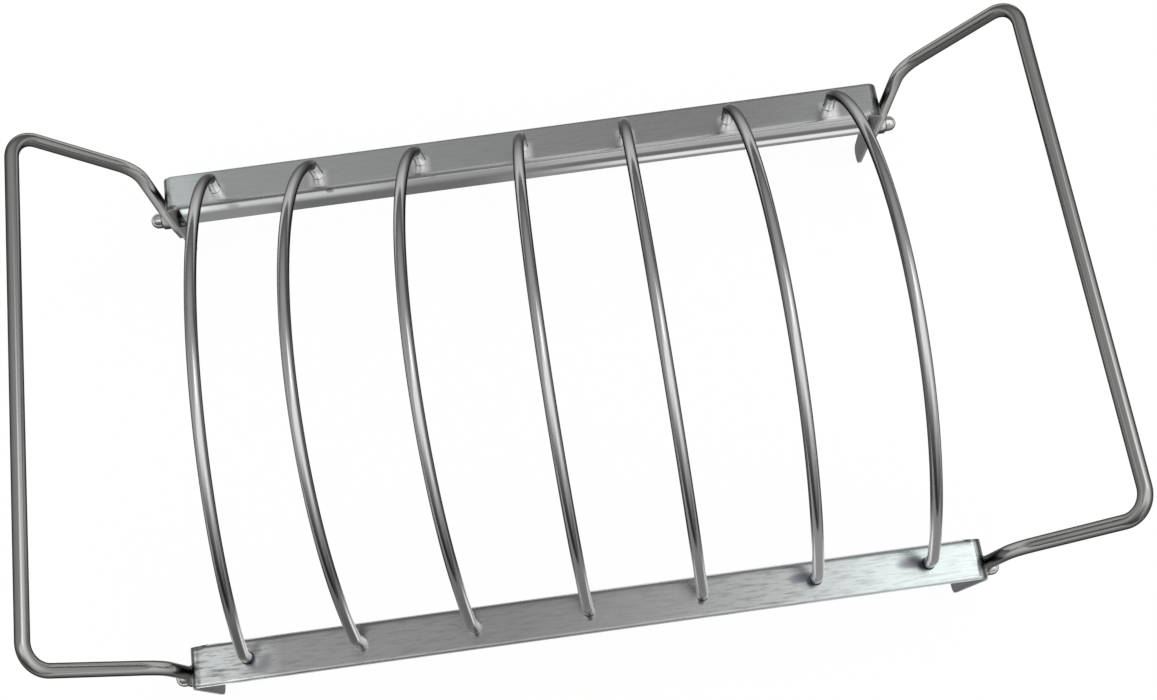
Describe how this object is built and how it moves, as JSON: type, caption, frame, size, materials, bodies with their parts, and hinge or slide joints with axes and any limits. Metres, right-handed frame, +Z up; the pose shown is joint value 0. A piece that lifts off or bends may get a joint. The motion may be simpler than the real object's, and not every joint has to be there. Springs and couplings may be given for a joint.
{
  "type": "toast rack",
  "caption": "Bright steel wire rack: tall arches welded across two folded sheet rails on feet, with a bolted wire carrying handle at each end, for toast, tacos or ribs.",
  "frame": {"origin": "on the table, under the middle of the rack", "axes": "+X along the rails to the right-hand handle, +Y across the rack from the front rail to the back rail, +Z up"},
  "size_m": [0.3914, 0.212, 0.1292],
  "materials": {
    "rail_sheet": "brushed lengthwise",
    "arch_wire": "bright drawn wire",
    "handle_wire": "bright drawn wire",
    "fixing": "polished"
  },
  "bodies": {
    "root": {"front_rail": "rail_sheet", "back_rail": "rail_sheet", "arch_1": "arch_wire", "arch_2": "arch_wire", "arch_3": "arch_wire", "arch_4": "arch_wire", "arch_5": "arch_wire", "arch_6": "arch_wire", "arch_7": "arch_wire", "left_handle": "handle_wire", "right_handle": "handle_wire", "front_left_bolt": "fixing", "front_right_bolt": "fixing", "back_left_bolt": "fixing", "back_right_bolt": "fixing", "front_left_cap_nut": "fixing", "front_right_cap_nut": "fixing", "back_left_cap_nut": "fixing", "back_right_cap_nut": "fixing"}
  },
  "joints": []
}
